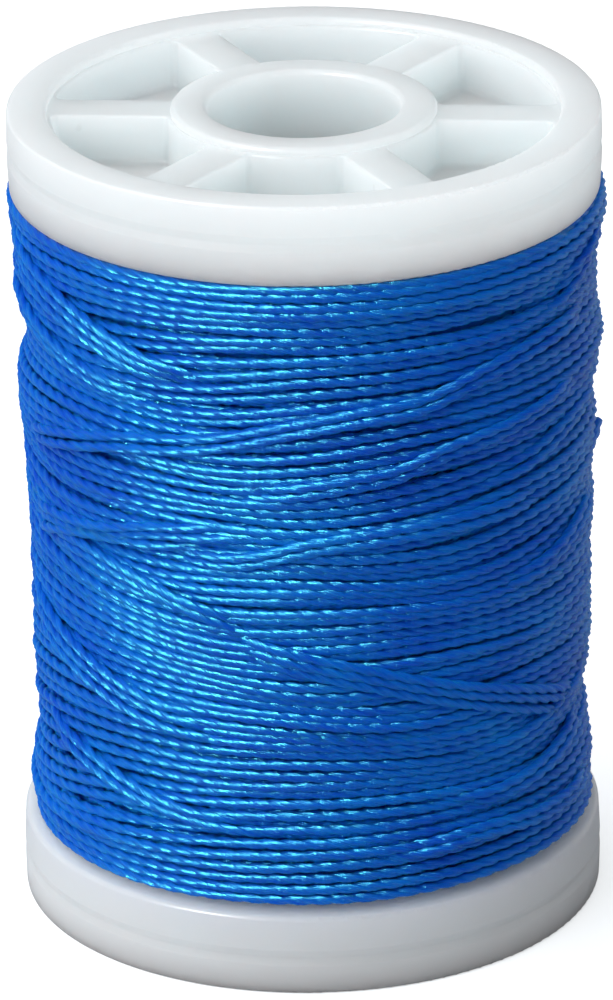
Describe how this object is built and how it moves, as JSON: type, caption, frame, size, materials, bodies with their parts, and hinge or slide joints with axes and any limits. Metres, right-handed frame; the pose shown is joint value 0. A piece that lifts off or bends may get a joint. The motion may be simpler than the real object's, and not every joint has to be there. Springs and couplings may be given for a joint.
{
  "type": "fishing line spool",
  "caption": "Small plastic spool with two thick spoked flanges on a hollow barrel, wound full with blue twisted line; slides on a spindle through its bore.",
  "frame": {"origin": "centre of the lower flange's resting face, on the spool's axis", "axes": "+Z along the spool's axis from the resting flange to the other flange; one spoke of the upper flange points close to +X"},
  "size_m": [0.04, 0.04, 0.0566],
  "materials": {
    "milky_plastic": "milky, translucent, smooth moulded polypropylene",
    "blue_line": "glossy twisted multifilament",
    "clear_tape": "clear film tape"
  },
  "bodies": {
    "root": {"barrel_tube": "milky_plastic", "top_flange": "milky_plastic", "bottom_flange": "milky_plastic", "start_tape": "clear_tape", "wound_line": "blue_line"}
  },
  "joints": []
}
